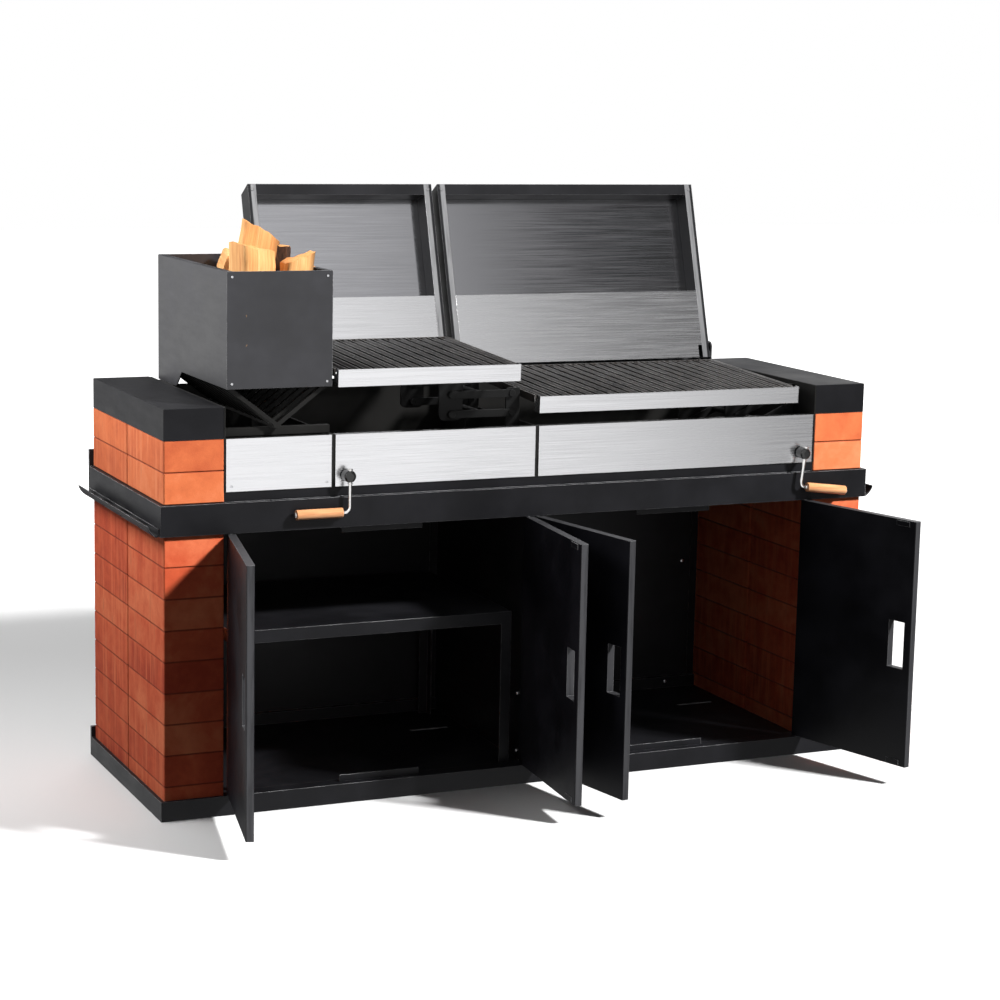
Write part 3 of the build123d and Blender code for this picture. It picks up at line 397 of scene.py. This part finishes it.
lowest = {slab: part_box(slab)[0].z for slab in ("lower_bricks_left", "upper_bricks_left")}
# lower bricks get the darker, redder colours as painted shade
shadedLowerClay = clay("brick lower", lowest["lower_bricks_left"], brickValues["lower"])
upperClay = clay("brick upper", lowest["upper_bricks_left"], brickValues["upper"])
finishes = {name: coated(name) for name in coatValues}
finishes.update({name: brushed(name) for name in ("stainless", "lid_inner", "fastener")})
finishes["bright_steel"] = brushed("bright_steel", (300.0, 300.0, 300.0))
finishes["bush_metal"] = brushed("bush_metal", (300.0, 60.0, 300.0))
finishes["grate_iron"] = seasonedIron("grate_iron")
finishes["grip_wood"] = turnedWood("grip_wood")
finishes["lid_steel"] = coated("frame_black", base=lidValues["base"])
doors = [node for node in nodes if node.startswith(("door_outer", "door_inner"))]
own = {
    "lower_bricks_left": shadedLowerClay, "lower_bricks_right": shadedLowerClay,
    "upper_bricks_left": upperClay, "upper_bricks_right": upperClay,
    "left_lid_shell": lidCoat("lid steel left", "left_lid_shell"),
    "right_lid_shell": lidCoat("lid steel right", "right_lid_shell"),
    **{node: doorCoat(node) for node in doors},
}
for part in frame["record"]["subparts"]:
    node, slotName = part["node"], part["material_slot"]
    mesh = nodes[node].data
    mesh.materials.clear()
    mesh.materials.append(own.get(node) or finishes[slotName])
print("finishes on", len(nodes), "parts")


woodValues = {
    "around": 64,
    "along": 48,
    "split": (0.80, 0.43, 0.17),
    "heart": (0.60, 0.25, 0.085),
    "end": (0.74, 0.34, 0.12),
    "barkColour": (0.075, 0.038, 0.025),
    "square": 10,  # how tight the corners between faces are
    "swell": 0.016,
    "splinter": 0.010,
    "dish": 0.002,
    "endRings": (0.22, 0.5, 0.78, 0.93, 1.0),
}
# foot and top are the ends of a billet's axis, halves the half widths of its faces, slant the slope of its
# top end; bark covers the side barkSide, all round when barkNarrow is below -1
billets = {
    "billetTall": {
        "foot": (-0.690, -0.180, 1.040), "top": (-0.648, -0.180, 1.326), "turn": 0.0, "slant": 0.42,
        "halves": (0.040, 0.028, 0.040, 0.028), "barkSide": 3.1, "barkNarrow": 0.8, "seed": 3,
    },
    "billetFront": {
        "foot": (-0.684, -0.248, 1.000), "top": (-0.684, -0.250, 1.290), "turn": 0.25, "slant": 0.22,
        "halves": (0.046, 0.030, 0.044, 0.029), "barkSide": 2.6, "barkNarrow": 1.4, "seed": 7,
    },
    "billetRight": {
        "foot": (-0.610, -0.252, 1.000), "top": (-0.582, -0.252, 1.266), "turn": 0.15, "slant": -0.5,
        "halves": (0.030, 0.026, 0.032, 0.027), "barkSide": 3.14, "barkNarrow": 0.82, "seed": 11,
    },
    "billetDark": {
        "foot": (-0.612, -0.182, 1.020), "top": (-0.606, -0.190, 1.292), "turn": 0.9, "slant": 0.2,
        "halves": (0.024, 0.026, 0.024, 0.026), "barkSide": 4.6, "barkNarrow": -2.0, "seed": 13,
    },
    "billetSmall": {
        "foot": (-0.550, -0.170, 1.030), "top": (-0.540, -0.180, 1.246), "turn": 0.4, "slant": 0.2,
        "halves": (0.022, 0.024, 0.022, 0.024), "barkSide": 1.0, "barkNarrow": 0.4, "seed": 17,
    },
    "billetBase": {
        "foot": (-0.635, 0.010, 0.980), "top": (-0.635, 0.210, 0.980), "turn": 0.2, "slant": 0.0,
        "halves": (0.045, 0.042, 0.047, 0.043, 0.045), "barkSide": 1.6, "barkNarrow": -2.0, "seed": 19,
    },
    "billetLeftBack": {
        "foot": (-0.702, -0.110, 1.070), "top": (-0.700, 0.215, 1.066), "turn": 0.3, "slant": 0.05,
        "halves": (0.042, 0.040, 0.043, 0.041), "barkSide": 2.9, "barkNarrow": 0.3, "seed": 23,
    },
    "billetRightBack": {
        "foot": (-0.566, -0.110, 1.070), "top": (-0.568, 0.205, 1.072), "turn": 0.7, "slant": 0.04,
        "halves": (0.042, 0.040, 0.043, 0.041), "barkSide": 0.3, "barkNarrow": 0.3, "seed": 29,
    },
    "billetTopBack": {
        "foot": (-0.640, -0.110, 1.146), "top": (-0.628, 0.212, 1.150), "turn": 0.1, "slant": 0.05,
        "halves": (0.042, 0.040, 0.044, 0.040, 0.042), "barkSide": 1.5, "barkNarrow": 0.2, "seed": 31,
    },
    "billetUpper": {
        "foot": (-0.672, -0.090, 1.222), "top": (-0.590, 0.200, 1.218), "turn": 0.5, "slant": 0.1,
        "halves": (0.029, 0.026, 0.030, 0.027), "barkSide": 1.2, "barkNarrow": 0.5, "seed": 37,
    },
}


def splitWood(name):
    # Split softwood: fibres run along the billet, rings show on its ends, bark on one side.
    v = woodValues
    paint = Paint(name)
    grain = paint.node("ShaderNodeAttribute", {"attribute_name": "grain"}, output="Vector")
    bark = paint.node("ShaderNodeAttribute", {"attribute_name": "bark"}, output="Fac")
    ends = paint.node("ShaderNodeAttribute", {"attribute_name": "ends"}, output="Fac")
    fibres = paint.noise(1.0, 5.0, 0.65, paint.stretched((220.0, 220.0, 7.0), grain), 0.4)
    layers = paint.noise(1.0, 3.0, 0.6, paint.stretched((60.0, 60.0, 2.5), grain), 1.2)
    cloud = paint.noise(14.0, 4.0, 0.6, grain)
    across, up, _ = paint.axes(grain)
    pith = paint.node("ShaderNodeCombineXYZ", inputs={0: across - 0.03, 1: up + 0.02, 2: 0.0})
    distance = paint.node("ShaderNodeVectorMath", {"operation": "LENGTH"}, {0: pith}, output=1)
    rings = ((distance + 0.004 * cloud) * 1600.0).sum("SINE", (distance + 0.004 * cloud) * 1600.0) * 0.5 + 0.5
    body = paint.ramp(0.6 * layers + 0.4 * fibres, (0.36, v["heart"]), (0.56, v["split"]),
                      (0.74, (0.90, 0.60, 0.30)))
    endColour = paint.mixed(v["end"], v["heart"], rings * 0.5 + 0.35 * paint.between(fibres, 0.4, 0.6))
    body = paint.mixed(body, endColour, ends * 0.8)
    crust = paint.noise(1.0, 5.0, 0.7, paint.stretched((90.0, 90.0, 26.0), grain), 0.6)
    barkBody = paint.ramp(crust, (0.35, (0.02, 0.011, 0.008)), (0.62, v["barkColour"]),
                          (0.78, (0.22, 0.10, 0.06)))
    body = paint.mixed(body, barkBody, bark)
    height = paint.chosen(bark, fibres * 0.6 + layers * 0.6, crust * 2.4)
    return paint.finish(base=body, rough=paint.between(fibres, 0.3, 0.7, 0.68, 0.9), shine=0.3,
                        normal=paint.bump(height, 0.0022, 0.8))


def billet(name, material, foot, top, halves, turn, slant, barkSide, barkNarrow, seed):
    # A split billet: a soft polygon carried along an axis.
    # Radius r(a) = (sum over faces of max(0, cos(a - face) / half)^square)^(-1/square), swollen by seeded
    # waves in a and t. A point is foot + axis * (length * t + slant * side) + r * (cos a, sin a).
    # Beyond each end the rings shrink to a pole, which closes the billet.
    v = woodValues
    rng = np.random.default_rng(seed)
    foot, top = np.array(foot), np.array(top)
    length = np.linalg.norm(top - foot)
    axis = (top - foot) / length
    side = np.cross(axis, (0.0, 1.0, 0.02) if abs(axis[1]) < 0.8 else (0.0, 0.0, 1.0))
    side /= np.linalg.norm(side)
    other = np.cross(axis, side)
    a = np.linspace(0, 2 * np.pi, v["around"], endpoint=False)[None, :]
    faces = turn + 2 * np.pi * (np.arange(len(halves)) + rng.uniform(-0.12, 0.12, len(halves))) / len(halves)
    reach = np.clip(np.cos(a[..., None] - faces), 0, None) / np.array(halves)
    r = np.minimum((reach ** v["square"]).sum(-1) ** (-1 / v["square"]), 1.35 * max(halves))
    ringEnds = np.array(v["endRings"])
    shrink = np.concatenate([ringEnds, np.ones(v["along"]), ringEnds[::-1]])[:, None]
    flat = len(ringEnds)
    t = np.concatenate([np.zeros(flat), np.linspace(0.004, 0.996, v["along"]), np.ones(flat)])[:, None]
    wave = np.zeros((len(t), v["around"]))
    for k in range(1, 9):
        turns, runs = rng.integers(1, 7), rng.uniform(0.5, 5.0)
        wave += v["swell"] / k ** 0.6 * np.sin(turns * a + runs * 6.28 * t + rng.uniform(0, 6.28))
    splinter = v["splinter"] * np.sin(17 * a + 3 * np.sin(5 * a) + 2.0 * t + seed)
    radius = r * (1 + wave + splinter) * shrink
    onEnd = (shrink < 0.999) | (t <= 0) | (t >= 1)
    dish = v["dish"] * (np.sin(3 * a + seed) + 0.7 * np.sin(7 * a + 2 * seed)) * (t > 0.5) * shrink
    sideways, upward = radius * np.cos(a), radius * np.sin(a)
    tilt = np.where(t > 0.5, slant, 0.12 * slant) * np.clip((np.abs(t - 0.5) - 0.25) * 4, 0, 1) ** 2
    run = length * t + sideways * tilt + dish
    points = foot + axis * run[..., None] + side * sideways[..., None] + other * upward[..., None]
    poles = np.array([foot, top + axis * (run[-1].mean() - length)])
    rows, count = points.shape[:2]
    index = np.arange(rows * count).reshape(rows, count)
    nxt = np.roll(index, -1, axis=1)
    quads = np.stack([index[:-1], nxt[:-1], nxt[1:], index[1:]], -1).reshape(-1, 4)
    first, last = rows * count, rows * count + 1
    capLow = np.stack([np.full(count, first), nxt[0], index[0]], -1)
    capHigh = np.stack([np.full(count, last), index[-1], nxt[-1]], -1)
    mesh = bpy.data.meshes.new(name)
    everyPoint = np.concatenate([points.reshape(-1, 3), poles])
    mesh.from_pydata(everyPoint.tolist(), [], quads.tolist() + capLow.tolist() + capHigh.tolist())
    local = np.stack(np.broadcast_arrays(sideways, upward, run), -1).reshape(-1, 3)
    local = np.concatenate([local, [[0, 0, 0], [0, 0, length]]])
    endMask = np.concatenate([np.broadcast_to(onEnd, (rows, count)).ravel(), [True, True]]).astype(np.float32)
    barkMask = 1 / (1 + np.exp(-26 * (np.cos(a - barkSide) - barkNarrow + 0.5 * wave)))
    barkMask = np.where(onEnd, 0.0, np.broadcast_to(barkMask, (rows, count)))
    barkMask = np.concatenate([barkMask.ravel(), [0, 0]]).astype(np.float32)
    grain = mesh.attributes.new("grain", "FLOAT_VECTOR", "POINT")
    grain.data.foreach_set("vector", local.astype(np.float32).ravel())
    mesh.attributes.new("ends", "FLOAT", "POINT").data.foreach_set("value", endMask)
    mesh.attributes.new("bark", "FLOAT", "POINT").data.foreach_set("value", barkMask)
    mesh.polygons.foreach_set("use_smooth", np.ones(len(mesh.polygons), bool))
    mesh.materials.append(material)
    mesh.update()
    piece = bpy.data.objects.new(name, mesh)
    bpy.context.scene.collection.objects.link(piece)
    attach(piece, "basket")
    return piece


firewood = splitWood("split firewood")
for name, values in billets.items():
    billet(name, firewood, **values)
print("firewood:", len(billets), "billets")


studioValues = {
    "floor": (0.86, 0.86, 0.86),
    "floorSize": 40.0,
    "around": 0.09,  # how bright the surroundings are to matt surfaces, to shiny ones and to the eye
    "mirrored": (1.4, 0.06),  # what lies to the front left and to the front right
    "sweep": (0.415, 0.515),
    "tilt": 0.15,
    "farSide": (0.08, 1.0),  # and what lies behind: dark in the middle, bright to either side
    "farMiddle": 0.12,
    "farSweep": (0.26, 0.40),
    "turn": 0.1,
    "behind": 1.0,
    "clearing": (1.2, 4.5),  # behind the barbecue the floor turns from plain to glowing white
    "key": {"place": (6.6, -7.6, 8.4), "aim": (-0.2, -0.2, 0.75), "size": (1.2, 1.2), "watts": 3400.0,
            "shiny": False},
    "left": {"place": (-1.75, 0.0, 1.75), "aim": (-0.9, 0.0, 1.0), "size": (0.6, 0.6), "watts": 22.0,
             "shiny": True},
    "above": {"place": (-0.6, 2.2, 4.4), "aim": (0.0, 0.1, 1.0), "size": (4.0, 1.6), "watts": 80.0,
              "shiny": True},
}


def areaLight(name, place, aim, size, watts, shiny):
    data = bpy.data.lights.new(name, "AREA")
    data.shape = "RECTANGLE"
    data.size, data.size_y = size
    data.energy = watts
    lamp = bpy.data.objects.new(name, data)
    lamp.location = place
    lamp.rotation_euler = (Vector(aim) - Vector(place)).to_track_quat("-Z", "Y").to_euler()
    lamp.visible_glossy = shiny
    bpy.context.scene.collection.objects.link(lamp)


for lightName in ("key", "left", "above"):
    areaLight(lightName, **studioValues[lightName])

half = studioValues["floorSize"] / 2
floorMesh = bpy.data.meshes.new("floor")
corners = [(-half, -half, 0), (half, -half, 0), (half, half, 0), (-half, half, 0)]
floorMesh.from_pydata(corners, [], [(0, 1, 2, 3)])
floor = bpy.data.objects.new("floor", floorMesh)
bpy.context.scene.collection.objects.link(floor)
floorPaint = Paint("studio floor")
glow = floorPaint.between(floorPaint.axes()[1], *studioValues["clearing"])
floorMesh.materials.append(floorPaint.finish(base=studioValues["floor"], rough=0.9, shine=0.1, glow=glow))
floor.visible_diffuse = False
floor.visible_glossy = False


def surroundings(values):
    # Plain white to the eye and dim to matt surfaces. Shiny ones see a sweep from bright to dark across the
    # front, and behind it a dark middle between bright sides.
    sky = Paint(bpy.data.worlds.new("studio"))
    x, y, z = sky.axes()
    front = sky.between(x + values["tilt"] * z, *values["sweep"], *values["mirrored"])
    aside = (x - values["farMiddle"]).size()
    back = sky.between(aside, *values["farSweep"], *values["farSide"], "LINEAR")
    shiny = sky.between(y, -values["turn"], values["turn"], front, back, "LINEAR")
    isShiny = sky.node("ShaderNodeLightPath", output="Is Glossy Ray")
    isSeen = sky.node("ShaderNodeLightPath", output="Is Camera Ray")
    level = sky.chosen(isSeen, sky.chosen(isShiny, values["around"], shiny), values["behind"])
    light = sky.node("ShaderNodeBackground", inputs={"Color": (1.0, 1.0, 1.0, 1.0), "Strength": level})
    out = sky.tree.nodes.new("ShaderNodeOutputWorld")
    sky.tree.links.new(light.socket, out.inputs["Surface"])
    bpy.context.scene.world = sky.owner


surroundings(studioValues)

cameraValues = {
    "place": (-2.459, -5.501, 1.675),
    "forward": (0.40844, 0.89703, -0.16886),
    "up": (0.05095, 0.16230, 0.98543),
    "lens": 88.88,
}


def studioCamera(values):
    forward = Vector(values["forward"]).normalized()
    right = forward.cross(Vector(values["up"])).normalized()
    up = right.cross(forward)
    data = bpy.data.cameras.new("camera")
    data.lens = values["lens"]
    data.sensor_width = 36.0
    camera = bpy.data.objects.new("camera", data)
    turn = Matrix((right, up, -forward)).transposed().to_4x4()
    camera.matrix_world = Matrix.Translation(values["place"]) @ turn
    bpy.context.scene.collection.objects.link(camera)
    bpy.context.scene.camera = camera


studioCamera(cameraValues)
bpy.context.scene.view_settings.view_transform = "Standard"
bpy.context.scene.view_settings.look = "None"
print("studio and camera ready")
